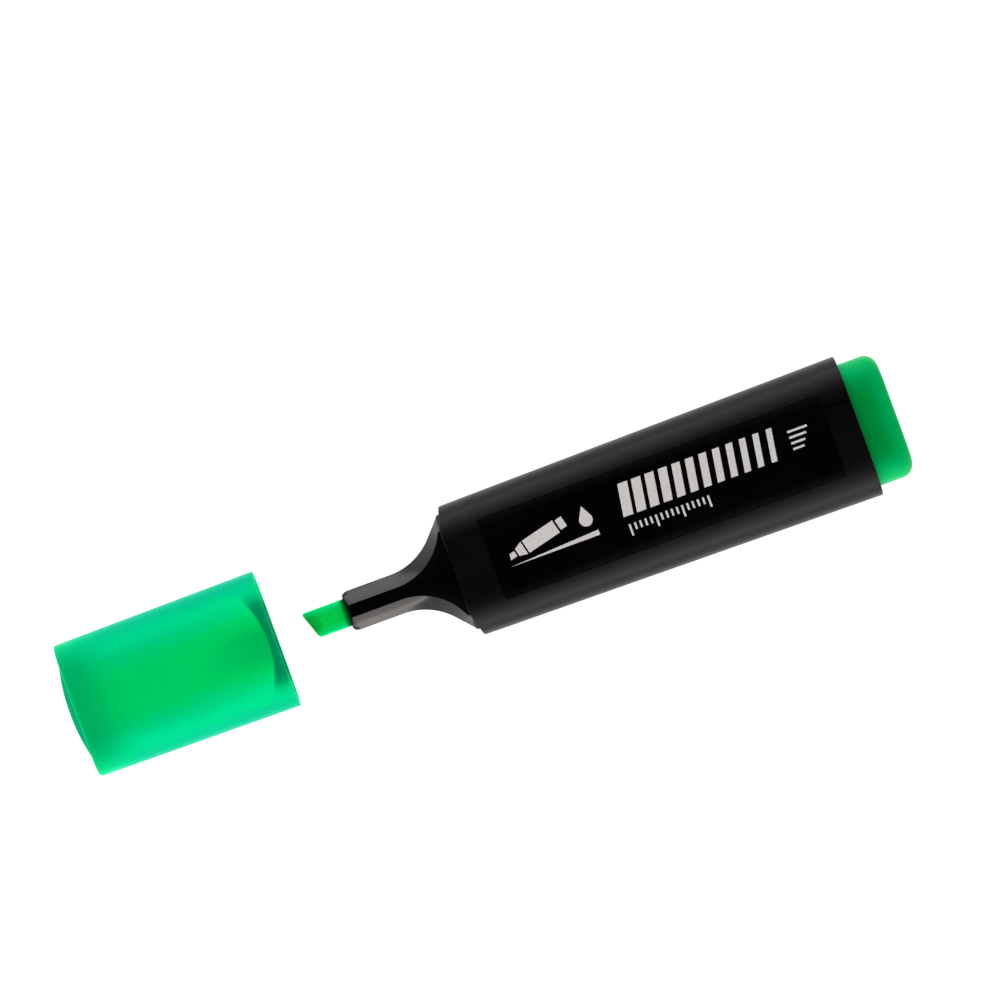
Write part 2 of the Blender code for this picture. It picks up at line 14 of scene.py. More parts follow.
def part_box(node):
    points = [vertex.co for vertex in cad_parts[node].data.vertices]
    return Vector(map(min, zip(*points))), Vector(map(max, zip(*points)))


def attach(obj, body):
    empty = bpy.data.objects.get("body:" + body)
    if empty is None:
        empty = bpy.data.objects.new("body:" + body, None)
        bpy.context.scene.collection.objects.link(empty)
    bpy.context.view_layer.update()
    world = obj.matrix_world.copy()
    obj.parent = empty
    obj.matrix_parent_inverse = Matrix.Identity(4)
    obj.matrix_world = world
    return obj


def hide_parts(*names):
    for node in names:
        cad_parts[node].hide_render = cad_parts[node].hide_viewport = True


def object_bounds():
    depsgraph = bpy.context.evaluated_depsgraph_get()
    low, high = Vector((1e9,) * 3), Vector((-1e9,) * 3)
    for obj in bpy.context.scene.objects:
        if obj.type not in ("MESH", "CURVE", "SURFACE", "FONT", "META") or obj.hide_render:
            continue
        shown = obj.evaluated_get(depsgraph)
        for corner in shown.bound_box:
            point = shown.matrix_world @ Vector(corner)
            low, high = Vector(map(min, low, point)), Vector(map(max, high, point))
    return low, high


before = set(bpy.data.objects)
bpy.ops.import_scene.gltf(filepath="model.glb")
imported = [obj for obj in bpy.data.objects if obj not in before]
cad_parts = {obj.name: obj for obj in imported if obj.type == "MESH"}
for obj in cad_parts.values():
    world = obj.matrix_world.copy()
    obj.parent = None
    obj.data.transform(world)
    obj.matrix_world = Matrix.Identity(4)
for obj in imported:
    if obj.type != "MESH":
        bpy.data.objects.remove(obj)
cad_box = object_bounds()

MM = 0.001

# Places and sizes read from the frame
BARREL_LOW, BARREL_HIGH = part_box("barrel")
NOSE_LOW, NOSE_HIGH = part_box("nose")
NIB_LOW, NIB_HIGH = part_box("nib")
PLUG_LOW, PLUG_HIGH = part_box("tail_plug")
CAP_LOW, CAP_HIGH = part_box("cap_shell")
LABEL_LOW, LABEL_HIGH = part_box("front_label")
SLEEVE_LOW, SLEEVE_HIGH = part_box("cap_seal_sleeve")

AXIS_Z = (BARREL_LOW.z + BARREL_HIGH.z) / 2
HALF_HEIGHT = (BARREL_HIGH.z - BARREL_LOW.z) / 2
FRONT = BARREL_LOW.x
BARREL_LENGTH = BARREL_HIGH.x - BARREL_LOW.x
MOUTH = CAP_HIGH.x
CAP_LENGTH = CAP_HIGH.x - CAP_LOW.x

# Cross-sections
QUARTER_STEPS = 26
FLAT_HALF = 4.0 * MM
SIDE_EXPONENT = 2.6
EDGE_STEPS = 4

# Barrel
BARREL_REAR_HALF = BARREL_HIGH.y
BARREL_FRONT_HALF = BARREL_REAR_HALF - 0.9 * MM
BARREL_WALL = 1.3 * MM
BOW_DEPTH = 1.1 * MM
BOW_START = 7.5 * MM
BOW_POWER = 1.1
BOW_FADE = 5.5 * MM
FRONT_ROUND = 0.2 * MM
REAR_ROUND = 0.15 * MM
RECESS_DEPTH = 0.35 * MM
RECESS_MARGIN = 0.15 * MM
GATE_RADIUS = 1.2 * MM
GATE_DEPTH = 0.3 * MM
GATE_PLACE = 61.0 * MM
GATE_SEGMENTS = 48
BOW_RINGS = 8

# Label film and its print
LABEL_CORNER = 0.9 * MM
LABEL_THICKNESS = 0.15 * MM
PRINT_PROUD = 0.02 * MM
PRINT_SINK = 0.06 * MM
FACE_STEPS = 32

# Nose
NOSE_LENGTH = FRONT - NOSE_LOW.x
NECK_HALF = 3.45 * MM
NECK_HALF_HEIGHT = 3.3 * MM
FLARE_LENGTH = 10.4 * MM
FLARE_RADIUS = 11.45 * MM
FLARE_STEPS = 36
RIM_HALF = NOSE_HIGH.y
RIM_HALF_HEIGHT = NOSE_HIGH.z - AXIS_Z
RIM_THICKNESS = 0.35 * MM
RIM_GAP = 0.06 * MM
SLOPE_POWER = 1.8
NECK_BAND, RIM_BAND = 2.35 * MM, 2.7 * MM
NECK_DROP, RIM_DROP = 2.1 * MM, 2.5 * MM
BAND_BULGE = 0.05 * MM
RIM_CROWN = 0.55 * MM
TIP_ROUND_LENGTH = 1.3 * MM
TIP_LIP = (0.15 * MM, 0.3 * MM)
TIP_POWER = 5.0
SKIRT_HALF = 9.65 * MM
SKIRT_HALF_HEIGHT = 5.85 * MM
SKIRT_LEAD = 0.3 * MM
SKIRT_WALL = 1.2 * MM
TIP_STEPS = 8
BORE_CLEARANCE = 0.18 * MM
BORE_CORNER = 0.5 * MM

# Nib
NIB_HALF = NIB_HIGH.y
NIB_HALF_HEIGHT = NIB_HIGH.z - AXIS_Z
NIB_REACH = NOSE_LOW.x - NIB_LOW.x
NIB_SLANT = 1.65 * MM
NIB_BEVEL = 3.3 * MM
NIB_EDGE = 0.4 * MM
NIB_CORNER = 0.45 * MM
NIB_RINGS = 90
NIB_TIP_ROUND = 0.5 * MM
NIB_FUZZ = 0.035 * MM

# Tail plug
PLUG_HALF = PLUG_HIGH.y
PLUG_HALF_HEIGHT = PLUG_HIGH.z - AXIS_Z
PLUG_ROUND = 2.3 * MM
PLUG_FACE_ROUND = 1.6 * MM
PLUG_ROUND_STEPS = 14
PLUG_WALL = 1.3 * MM
PLUG_SKIRT_INSET = 0.15 * MM

# Cap
CAP_MOUTH_HALF = CAP_HIGH.y
CAP_END_HALF = CAP_MOUTH_HALF - 0.35 * MM
CAP_WALL = 0.95 * MM
CAP_RIM_SETBACK = 1.25 * MM
CAP_RIM_ROUND = 0.4 * MM
CAP_RIM_WIDTH = 1.0 * MM
CAP_GROOVE_SETBACK = 1.45 * MM
DOME_HALF = 9.8 * MM
DOME_HALF_HEIGHT = 5.6 * MM
DOME_STEPS = 16
CAP_END_INSIDE = 2.9 * MM
CAP_INNER_ROUND = 0.8 * MM
LAND_RADIUS = 17.0 * MM
LAND_SETBACK = 1.3 * MM
LAND_DEPTH = 0.3 * MM
BOSS_RADIUS = 3.55 * MM
BOSS_LENGTH = 2.6 * MM
CAP_MOUTH_ROUND = 0.12 * MM
CAP_WALL_STEPS = 12
LAND_SEGMENTS = 360

# Sleeve inside the cap
SLEEVE_BORE = 3.95 * MM
SLEEVE_BEAD = 3.82 * MM
SLEEVE_BEAD_LENGTH = 0.8 * MM
SLEEVE_ROUND = 0.4 * MM

# Fine line that the mould halves leave
PARTING_HALF = 0.1 * MM
PARTING_HEIGHT = 0.03 * MM

# Camera: the width of the view at the pen, its roll and where it aims from the pen's middle
VIEW_WIDTH = 168 * MM
VIEW_DISTANCE = 1.4
VIEW_ROLL = math.radians(20.1)
AIM_RIGHT, AIM_UP = 3.0 * MM, 10.6 * MM
SENSOR = 36.0

# Studio: light from the sides, and how quickly it falls off towards the top and the ends
SIDE_LIGHT_POWER = 2.8
WARM_SIDE = (4.3, 4.02, 3.9, 1.0)
COOL_SIDE = (3.75, 3.68, 3.72, 1.0)
SIDE_BLEND = 0.3
STRIP_SIZE = (2.6, 0.08)
STRIP_PLACE = (-0.5, -0.85, 0.045)
STRIP_POWER = 2.4
STRIP_COLOUR = (1.0, 0.93, 0.90)
FLOOR_SIZE = 4.0
FLOOR_GAP = 0.05 * MM
FLOOR_GLOW = 0.9


# ---------------------------------------------------------------- cross-sections

def full_loop(quarter):
    """Mirror a quarter outline, which runs from the top middle to the side, all the way round."""
    lower = [(y, -z) for y, z in reversed(quarter[:-1])]
    far_lower = [(-y, -z) for y, z in quarter[1:]]
    far_upper = [(-y, z) for y, z in reversed(quarter[1:-1])]
    return quarter + lower + far_lower + far_upper


def oval_quarter(half_width, half_height, flat=FLAT_HALF):
    power = 2 / SIDE_EXPONENT
    quarter = [(0.0, half_height)]
    for step in range(QUARTER_STEPS):
        turn = math.pi / 2 * step / QUARTER_STEPS
        y = flat + (half_width - flat) * math.sin(turn) ** power
        quarter.append((y, half_height * math.cos(turn) ** power))
    quarter.append((half_width, 0.0))
    return quarter


def oval(half_width, half_height, flat=FLAT_HALF):
    return full_loop(oval_quarter(half_width, half_height, flat))


def rounded_box(half_width, half_height, corner):
    quarter = [(0.0, half_height)]
    for step in range(QUARTER_STEPS):
        turn = math.pi / 2 * step / (QUARTER_STEPS - 1)
        y = half_width - corner + corner * math.sin(turn)
        quarter.append((y, half_height - corner + corner * math.cos(turn)))
    quarter.append((half_width, 0.0))
    return full_loop(quarter)


def circle(radius):
    count = QUARTER_STEPS + 1
    turns = [math.pi / 2 * step / count for step in range(count)]
    quarter = [(radius * math.sin(turn), radius * math.cos(turn)) for turn in turns]
    return full_loop(quarter + [(radius, 0.0)])


def nose_section(half_width, half_height, spread):
    """Flat strip, slanted band and upright side. spread is 0 at the neck and 1 at the rim."""
    strip_steps, band_steps = 8, 13
    side_steps = QUARTER_STEPS + 1 - strip_steps - band_steps
    band = NECK_BAND + (RIM_BAND - NECK_BAND) * spread
    drop = NECK_DROP + (RIM_DROP - NECK_DROP) * spread
    crown = RIM_CROWN * spread ** 2
    crease_y = half_width - band
    crease_z = half_height - crown
    quarter = []
    for step in range(strip_steps + 1):
        part = step / strip_steps
        quarter.append((crease_y * part, half_height - crown * part ** 2))
    for step in range(1, band_steps + 1):
        part = step / band_steps
        bulge = BAND_BULGE * math.sin(math.pi * part)
        quarter.append((crease_y + band * part + bulge * (1 - part), crease_z - drop * part + bulge))
    side_top = crease_z - drop
    for step in range(1, side_steps + 1):
        quarter.append((half_width, side_top * (1 - step / side_steps)))
    return full_loop(quarter)


def tip_section(share):
    """Outline of the neck, drawn a share of the way in to the lip round the nib's bore."""
    lip_half = NIB_HALF + BORE_CLEARANCE + TIP_LIP[0]
    lip_half_height = NIB_HALF_HEIGHT + BORE_CLEARANCE + TIP_LIP[1]
    section = []
    for y, z in nose_section(NECK_HALF, NECK_HALF_HEIGHT, 0.0):
        powers = abs(y / lip_half) ** TIP_POWER + abs(z / lip_half_height) ** TIP_POWER
        scale = 1 - share * (1 - powers ** (-1 / TIP_POWER))
        section.append((y * scale, z * scale))
    return section


def edge_bow(y):
    """How far the barrel's front edge falls back at a distance y from the middle."""
    reach = max(0.0, abs(y) - BOW_START) / (BARREL_FRONT_HALF - BOW_START)
    return BOW_DEPTH * reach ** BOW_POWER


def barrel_half_width(x):
    return BARREL_FRONT_HALF + (BARREL_REAR_HALF - BARREL_FRONT_HALF) * x / BARREL_LENGTH


def face_height(x, y):
    """Height of the barrel's label face above the axis, at x from the front edge."""
    side = barrel_half_width(x) - FLAT_HALF
    part = max(0.0, abs(y) - FLAT_HALF) / side
    return HALF_HEIGHT * (1 - part ** SIDE_EXPONENT) ** (1 / SIDE_EXPONENT)


def cap_half_width(x):
    return CAP_MOUTH_HALF + (CAP_MOUTH_HALF - CAP_END_HALF) * x / CAP_LENGTH


def ring(x, section, bow=0.0):
    return [Vector((x + bow * edge_bow(y), y, z)) for y, z in section]


def edge_rings(x, direction, radius, section, bow=0.0):
    """Rings that round an outer edge: from the end face at x into the side of the piece.

    direction is +1 if the piece lies at greater X than its end face. section takes an inset.
    """
    rings = []
    for step in range(EDGE_STEPS + 1):
        turn = math.pi / 2 * step / EDGE_STEPS
        inset = radius * (1 - math.sin(turn))
        rings.append(ring(x + direction * radius * (1 - math.cos(turn)), section(inset), bow))
    return rings


# ---------------------------------------------------------------- meshes and objects

def finish_mesh(name, mesh):
    bmesh.ops.recalc_face_normals(mesh, faces=mesh.faces)
    if mesh.calc_volume(signed=True) < 0:
        bmesh.ops.reverse_faces(mesh, faces=mesh.faces)
    data = bpy.data.meshes.new(name)
    mesh.to_mesh(data)
    mesh.free()
    return data


def loft_mesh(name, rings, endless=False):
    """Skin a row of rings. An endless row joins its last ring to its first, as a tube does."""
    mesh = bmesh.new()
    rows = [[mesh.verts.new(point) for point in points] for points in rings]
    count = len(rows[0])
    pairs = list(zip(rows, rows[1:]))
    if endless:
        pairs.append((rows[-1], rows[0]))
    else:
        mesh.faces.new(rows[0])
        mesh.faces.new(rows[-1])
    for near, far in pairs:
        for index in range(count):
            after = (index + 1) % count
            mesh.faces.new((near[index], near[after], far[after], far[index]))
    return finish_mesh(name, mesh)


def box_mesh(name, low, high, corner=0.0):
    """Box between two corners, with its upright edges rounded by corner."""
    mesh = bmesh.new()
    bmesh.ops.create_cube(mesh, size=1.0)
    for vert in mesh.verts:
        vert.co = [low[i] + (high[i] - low[i]) * (vert.co[i] + 0.5) for i in range(3)]
    if corner:
        upright = [edge for edge in mesh.edges
                   if abs(edge.verts[0].co.z - edge.verts[1].co.z) > 0.5 * (high[2] - low[2])]
        bmesh.ops.bevel(mesh, geom=upright, offset=corner, segments=8, profile=0.5, affect='EDGES')
    return finish_mesh(name, mesh)


def cylinder_mesh(name, radius, depth, segments):
    mesh = bmesh.new()
    bmesh.ops.create_cone(mesh, cap_ends=True, segments=segments, radius1=radius,
                          radius2=radius, depth=depth)
    return finish_mesh(name, mesh)


def new_object(data, x=0.0):
    """Object drawn from the pen's axis, with its own X measured from x."""
    item = bpy.data.objects.new(data.name, data)
    item.location = (x, 0.0, AXIS_Z)
    bpy.context.scene.collection.objects.link(item)
    return item


def carve(item, *tools_and_operations):
    """Run Booleans on a piece, keep the result as its mesh and remove the tools."""
    for tool, operation in tools_and_operations:
        boolean = item.modifiers.new(operation.lower(), 'BOOLEAN')
        boolean.operation = operation
        boolean.solver = 'EXACT'
        boolean.object = tool
    bpy.context.view_layer.update()
    graph = bpy.context.evaluated_depsgraph_get()
    carved = bpy.data.meshes.new_from_object(item.evaluated_get(graph))
    carved.name = item.data.name
    item.modifiers.clear()
    item.data = carved
    for tool, _ in tools_and_operations:
        bpy.data.objects.remove(tool, do_unlink=True)
    return item


def dress(item, material, body, replaced=(), crease_degrees=32.0):
    """Shade a piece, give it its material and tie it to the frame."""
    item.data.materials.clear()
    item.data.materials.append(material)
    item.data.shade_smooth()
    item.data.set_sharp_from_angle(angle=math.radians(crease_degrees))
    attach(item, body)
    if replaced:
        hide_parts(*replaced)
    return item


# ---------------------------------------------------------------- material helpers

class Nodes:
    """Short hand for wiring one material's node tree."""

    def __init__(self, name):
        self.material = bpy.data.materials.new(name)
        self.material.use_nodes = True
        self.tree = self.material.node_tree
        self.shader = self.tree.nodes["Principled BSDF"]
        self.coordinates = self.add("ShaderNodeTexCoord").outputs["Object"]

    def add(self, kind, **settings):
        node = self.tree.nodes.new(kind)
        for key, value in settings.items():
            setattr(node, key, value)
        return node

    def link(self, source, target):
        self.tree.links.new(source, target)

    def set(self, **values):
        """Set the shader's own sockets. Underscores in a name stand for spaces."""
        for key, value in values.items():
            self.shader.inputs[key.replace("_", " ")].default_value = value

    def noise(self, scale, stretch=(1, 1, 1), detail=3.0, roughness=0.5):
        """Noise over the piece. scale is features per metre, divided along each axis by stretch."""
        mapping = self.add("ShaderNodeMapping")
        mapping.inputs["Scale"].default_value = [1 / s for s in stretch]
        self.link(self.coordinates, mapping.inputs["Vector"])
        texture = self.add("ShaderNodeTexNoise")
        texture.inputs["Scale"].default_value = scale
        texture.inputs["Detail"].default_value = detail
        texture.inputs["Roughness"].default_value = roughness
        self.link(mapping.outputs["Vector"], texture.inputs["Vector"])
        return texture.outputs["Fac"]

    def remap(self, source, low, high, new_low=0.0, new_high=1.0, smooth=False):
        node = self.add("ShaderNodeMapRange")
        if smooth:
            node.interpolation_type = 'SMOOTHSTEP'
        node.inputs["From Min"].default_value = low
        node.inputs["From Max"].default_value = high
        node.inputs["To Min"].default_value = new_low
        node.inputs["To Max"].default_value = new_high
        self.link(source, node.inputs["Value"])
        return node.outputs["Result"]

    def math(self, operation, first, second=None):
        node = self.add("ShaderNodeMath", operation=operation)
        for socket, value in zip(node.inputs, (first, second)):
            if value is None:
                continue
            if isinstance(value, (int, float)):
                socket.default_value = value
            else:
                self.link(value, socket)
        return node.outputs["Value"]

    def axis(self, name):
        """One coordinate of the point, in metres in the piece's own frame."""
        node = self.add("ShaderNodeSeparateXYZ")
        self.link(self.coordinates, node.inputs["Vector"])
        return node.outputs[name]

    def blend(self, factor, first, second):
        """Mix two colours, each of them a colour or a socket."""
        node = self.add("ShaderNodeMix", data_type='RGBA')
        self.link(factor, node.inputs["Factor"])
        colours = [socket for socket in node.inputs if socket.type == 'RGBA']
        for socket, value in zip(colours, (first, second)):
            if isinstance(value, tuple):
                socket.default_value = (*value, 1.0)
            else:
                self.link(value, socket)
        return next(socket for socket in node.outputs if socket.type == 'RGBA')

    def bump(self, height, depth, strength=1.0, after=None):
        node = self.add("ShaderNodeBump")
        node.inputs["Strength"].default_value = strength
        node.inputs["Distance"].default_value = depth
        self.link(height, node.inputs["Height"])
        if after is not None:
            self.link(after, node.inputs["Normal"])
        return node.outputs["Normal"]

    def parting_line(self, after=None):
        """Fine raised line round the narrow sides, where the two mould halves met."""
        height = self.math('ABSOLUTE', self.axis("Z"))
        ridge = self.remap(height, 0.4 * PARTING_HALF, PARTING_HALF, 1.0, 0.0, smooth=True)
        return self.bump(ridge, PARTING_HEIGHT, 0.6, after)

    def colour(self, socket):
        self.link(socket, self.shader.inputs["Base Color"])

    def roughness(self, socket):
        self.link(socket, self.shader.inputs["Roughness"])

    def normal(self, socket):
        self.link(socket, self.shader.inputs["Normal"])


# ---------------------------------------------------------------- materials

def satin_black():
    """Moulded black with a fine spark texture, faint flow marks and handling scuffs."""
    n = Nodes("satin_black")
    n.set(Specular_IOR_Level=0.16)
    flow = n.noise(60, stretch=(6, 1, 1), detail=4)
    grain = n.noise(6500, detail=2)
    scuff = n.remap(n.noise(900, stretch=(14, 1, 1), detail=5), 0.6, 0.72)
    n.colour(n.blend(n.remap(flow, 0.3, 0.7), (0.0010, 0.0009, 0.0010), (0.0022, 0.0019, 0.0019)))
    n.roughness(n.math('SUBTRACT', n.remap(flow, 0.3, 0.7, 0.33, 0.43), n.math('MULTIPLY', scuff, 0.08)))
    n.normal(n.bump(grain, 0.012 * MM, 0.5, n.bump(scuff, 0.01 * MM, 0.4, n.parting_line())))
    return n.material


def gloss_black():
    """Polished black of the nose, with faint smears that vary its gloss."""
    n = Nodes("gloss_black")
    n.set(Specular_IOR_Level=0.32)
    smear = n.noise(260, stretch=(3, 1, 1), detail=4)
    n.colour(n.blend(smear, (0.0012, 0.0010, 0.0012), (0.0022, 0.0018, 0.0021)))
    n.roughness(n.remap(smear, 0.3, 0.7, 0.10, 0.19))
    n.normal(n.bump(n.noise(1500, detail=2), 0.004 * MM, 0.4, n.parting_line()))
    return n.material


def label_film():
    """Smooth black film with a slight ripple."""
    n = Nodes("label_film")
    n.set(Specular_IOR_Level=0.16)
    ripple = n.noise(240, stretch=(3, 1, 1), detail=2)
    n.colour(n.blend(ripple, (0.0007, 0.0007, 0.0008), (0.0012, 0.0012, 0.0013)))
    n.roughness(n.remap(ripple, 0.3, 0.7, 0.16, 0.24))
    n.normal(n.bump(ripple, 0.01 * MM, 0.3))
    return n.material


def white_ink():
    """Screen-printed white, a little mottled where the ink is thin."""
    n = Nodes("white_ink")
    n.set(Specular_IOR_Level=0.3)
    mottle = n.noise(3200, detail=4, roughness=0.6)
    n.colour(n.blend(n.remap(mottle, 0.32, 0.6), (0.68, 0.67, 0.66), (0.82, 0.81, 0.80)))
    n.roughness(n.remap(mottle, 0.3, 0.7, 0.42, 0.6))
    n.normal(n.bump(mottle, 0.01 * MM, 0.4))
    return n.material


def green_felt():
    """Ink-wet felt with fibres along the nib. Painted into its colour: painted highlights along its
    sides, painted shade on the bevel near the tip, and a painted shadow where it dips into the nose.
    """
    n = Nodes("green_felt")
    n.set(Specular_IOR_Level=0.2, Specular_Tint=(0.2, 1.0, 0.6, 1.0))
    fibre = n.noise(5200, stretch=(9, 1, 1), detail=5, roughness=0.65)
    speckle = n.noise(2600, detail=3)
    strands = n.blend(n.remap(fibre, 0.34, 0.66), (0.0, 0.60, 0.050), (0.0, 0.92, 0.13))
    wet = n.blend(n.remap(speckle, 0.35, 0.7), strands, (0.0, 0.79, 0.09))
    # painted highlight: the felt gets lighter and bluer towards its sides, standing in for light from
    # the side lamps
    sides = n.remap(n.math('ABSOLUTE', n.axis("Y")), 0.3 * NIB_HALF, NIB_HALF, smooth=True)
    painted_light_felt = n.blend(sides, wet, (0.0, 0.93, 0.25))
    # painted shade: darker in the middle of the slanted end near the tip
    facet_shade = n.remap(n.axis("X"), 1.2 * MM, 3.6 * MM, 1.0, 0.0, smooth=True)
    painted_light_felt = n.blend(n.math('MULTIPLY', facet_shade, n.math('SUBTRACT', 1.0, sides)), painted_light_felt, (0.0, 0.52, 0.05))
    # painted shadow: the felt darkens where it dips into the nose
    root_shadow = n.remap(n.axis("X"), NIB_REACH - 1.1 * MM, NIB_REACH, smooth=True)
    n.colour(n.blend(root_shadow, painted_light_felt, (0.0, 0.12, 0.02)))
    n.roughness(n.remap(fibre, 0.3, 0.7, 0.75, 0.95))
    n.normal(n.bump(fibre, 0.05 * MM, 0.7, n.bump(speckle, 0.04 * MM, 0.4)))
    return n.material


def opaque_green():
    """Solid green plug, with a satin mould finish and painted highlights on its sides and rounded end.
    """
    n = Nodes("opaque_green")
    n.set(Specular_IOR_Level=0.06, Specular_Tint=(0.0, 1.0, 0.85, 1.0))
    cloud = n.noise(220, detail=3)
    body = n.blend(n.remap(cloud, 0.3, 0.7), (0.0, 0.325, 0.053), (0.0, 0.360, 0.063))
    # painted highlight: lighter towards the plug's sides
    sides = n.remap(n.math('ABSOLUTE', n.axis("Y")), 5 * MM, 9 * MM, smooth=True)
    body = n.blend(sides, body, (0.0, 0.47, 0.125))
    # painted highlight: lighter towards the plug's rounded end
    end = n.remap(n.axis("X"), 2.5 * MM, 5.5 * MM, smooth=True)
    n.colour(n.blend(end, body, (0.0, 0.47, 0.115)))
    n.roughness(n.remap(cloud, 0.3, 0.7, 0.30, 0.38))
    n.normal(n.bump(n.noise(5200, detail=2), 0.008 * MM, 0.4))
    return n.material


def translucent_green():
    """Tinted cap plastic that light spreads inside. Its colour has painted light: lighter sides, and
    painted shade along the outer edges, in the middle by the mouth, at the closed end, on the dome and
    past the arc by the mouth.
    """
    n = Nodes("translucent_green")
    n.set(Specular_IOR_Level=0.012, Specular_Tint=(0.0, 1.0, 0.85, 1.0), IOR=1.49,
          Subsurface_Weight=1.0, Subsurface_Radius=(0.1, 1.6, 1.1), Subsurface_Scale=0.001)
    n.shader.subsurface_method = 'RANDOM_WALK'
    along, across = n.axis("X"), n.math('ABSOLUTE', n.axis("Y"))
    cloud = n.noise(300, stretch=(3, 1, 1), detail=3)
    middle = n.blend(n.remap(cloud, 0.3, 0.7), (0.0, 0.91, 0.210), (0.0, 0.94, 0.222))
    # painted light: lighter and bluer towards the sides, standing in for the side lamps
    sides = n.remap(across, 2.5 * MM, 8.5 * MM, smooth=True)
    body = n.blend(sides, middle, (0.0, 0.95, 0.385))
    # painted shade: darker along the outer edges
    rim_shade = n.remap(across, 7.4 * MM, CAP_MOUTH_HALF, smooth=True)
    body = n.blend(rim_shade, body, (0.0, 0.42, 0.23))
    # painted shade: deeper green along the middle near the mouth, where the sleeve lies behind the wall
    near_mouth = n.remap(along, -0.5 * CAP_LENGTH, -1 * MM, 0.0, 0.8, smooth=True)
    core = n.remap(across, 1 * MM, 7 * MM, 1.0, 0.0, smooth=True)
    body = n.blend(n.math('MULTIPLY', near_mouth, core), body, (0.0, 0.58, 0.15))
    # painted shade: darker towards the closed end
    closed_end_shade = n.remap(along, -CAP_LENGTH + MM, -CAP_LENGTH + 12 * MM, 0.9, 0.0, smooth=True)
    body = n.blend(closed_end_shade, body, (0.0, 0.57, 0.20))
    # painted shade: darker on the dome, which is also made rough
    dome = n.remap(along, -CAP_LENGTH + 1.0 * MM, -CAP_LENGTH + 1.35 * MM, 1.0, 0.0)
    body = n.blend(dome, body, (0.0, 0.36, 0.15))
    # painted shade: darker past the arc by the mouth
    n.colour(n.blend(crescent_shade(n, along, across), body, (0.0, 0.36, 0.17)))
    n.roughness(n.math('MAXIMUM', n.remap(cloud, 0.3, 0.7, 0.30, 0.38), dome))
    n.normal(n.bump(n.noise(4200, detail=2), 0.006 * MM, 0.35))
    return n.material


def crescent_shade(n, along, across):
    """Mask for the painted shade by the cap's mouth: 1 past the arc that ends the thick part of the
    wall, fading out sideways.
    """
    from_centre = n.math('ADD', along, LAND_SETBACK + LAND_RADIUS)
    squares = n.math('ADD', n.math('POWER', from_centre, 2.0), n.math('POWER', across, 2.0))
    past = n.remap(n.math('SQRT', squares), LAND_RADIUS - 0.1 * MM, LAND_RADIUS + 0.35 * MM)
    side = n.remap(across, 5.0 * MM, 10.5 * MM, 1.0, 0.0, smooth=True)
    front = n.remap(along, -5 * MM, -1.5 * MM, smooth=True)
    return n.math('MULTIPLY', n.math('MULTIPLY', past, side), front)


def soft_green():
    """Waxy sleeve plastic inside the cap."""
    n = Nodes("soft_green")
    n.set(Specular_IOR_Level=0.35, Subsurface_Weight=0.6, Subsurface_Radius=(0.3, 2.0, 1.0),
          Subsurface_Scale=0.001)
    cloud = n.noise(400, detail=3)
    n.colour(n.blend(cloud, (0.01, 0.34, 0.09), (0.01, 0.40, 0.12)))
    n.roughness(n.remap(cloud, 0.3, 0.7, 0.42, 0.55))
    n.normal(n.bump(cloud, 0.02 * MM, 0.2))
    return n.material


def inked_fibre():
    """Fibre bundle soaked with ink."""
    n = Nodes("inked_fibre")
    strand = n.noise(4200, stretch=(30, 1, 1), detail=5, roughness=0.6)
    n.colour(n.blend(n.remap(strand, 0.35, 0.65), (0.02, 0.28, 0.05), (0.10, 0.60, 0.16)))
    n.roughness(n.remap(strand, 0.3, 0.7, 0.7, 0.95))
    n.normal(n.bump(strand, 0.06 * MM, 0.7))
    return n.material


def clear_film():
    """Thin wrapping film with lengthways creases."""
    n = Nodes("clear_film")
    n.set(Transmission_Weight=0.7, IOR=1.45)
    crease = n.noise(900, stretch=(12, 1, 1), detail=3)
    n.colour(n.blend(crease, (0.72, 0.80, 0.76), (0.90, 0.94, 0.92)))
    n.roughness(n.remap(crease, 0.3, 0.7, 0.12, 0.3))
    n.normal(n.bump(crease, 0.04 * MM, 0.4))
    return n.material


# ---------------------------------------------------------------- pen pieces

def make_barrel(material):
    rear = BARREL_LENGTH

    def outer(x):
        return lambda inset: oval(barrel_half_width(x) - inset, HALF_HEIGHT - inset)

    rings = edge_rings(0.0, 1, FRONT_ROUND, outer(0.0), bow=1.0)
    for step in range(1, BOW_RINGS + 1):
        part = step / BOW_RINGS
        x = FRONT_ROUND + (BOW_FADE - FRONT_ROUND) * part
        rings.append(ring(x, outer(x)(0.0), bow=1 - part))
    rings += reversed(edge_rings(rear, -1, REAR_ROUND, outer(rear)))
    rings += [
        ring(rear, outer(rear)(BARREL_WALL)),
        ring(BOW_FADE, outer(BOW_FADE)(BARREL_WALL)),
        ring(0.0, outer(0.0)(BARREL_WALL), bow=1.0),
    ]
    barrel = new_object(loft_mesh("barrel_body", rings, endless=True), FRONT)
    recess = label_block("recess", -RECESS_DEPTH, HALF_HEIGHT / 3, RECESS_MARGIN)
    gate_mesh = cylinder_mesh("gate", GATE_RADIUS, 2 * GATE_DEPTH, GATE_SEGMENTS)
    gate = new_object(gate_mesh, FRONT + GATE_PLACE)
    gate.location.z = AXIS_Z - HALF_HEIGHT
    carve(barrel, (recess, 'DIFFERENCE'), (gate, 'DIFFERENCE'))
    return dress(barrel, material, "pen", ("barrel",))


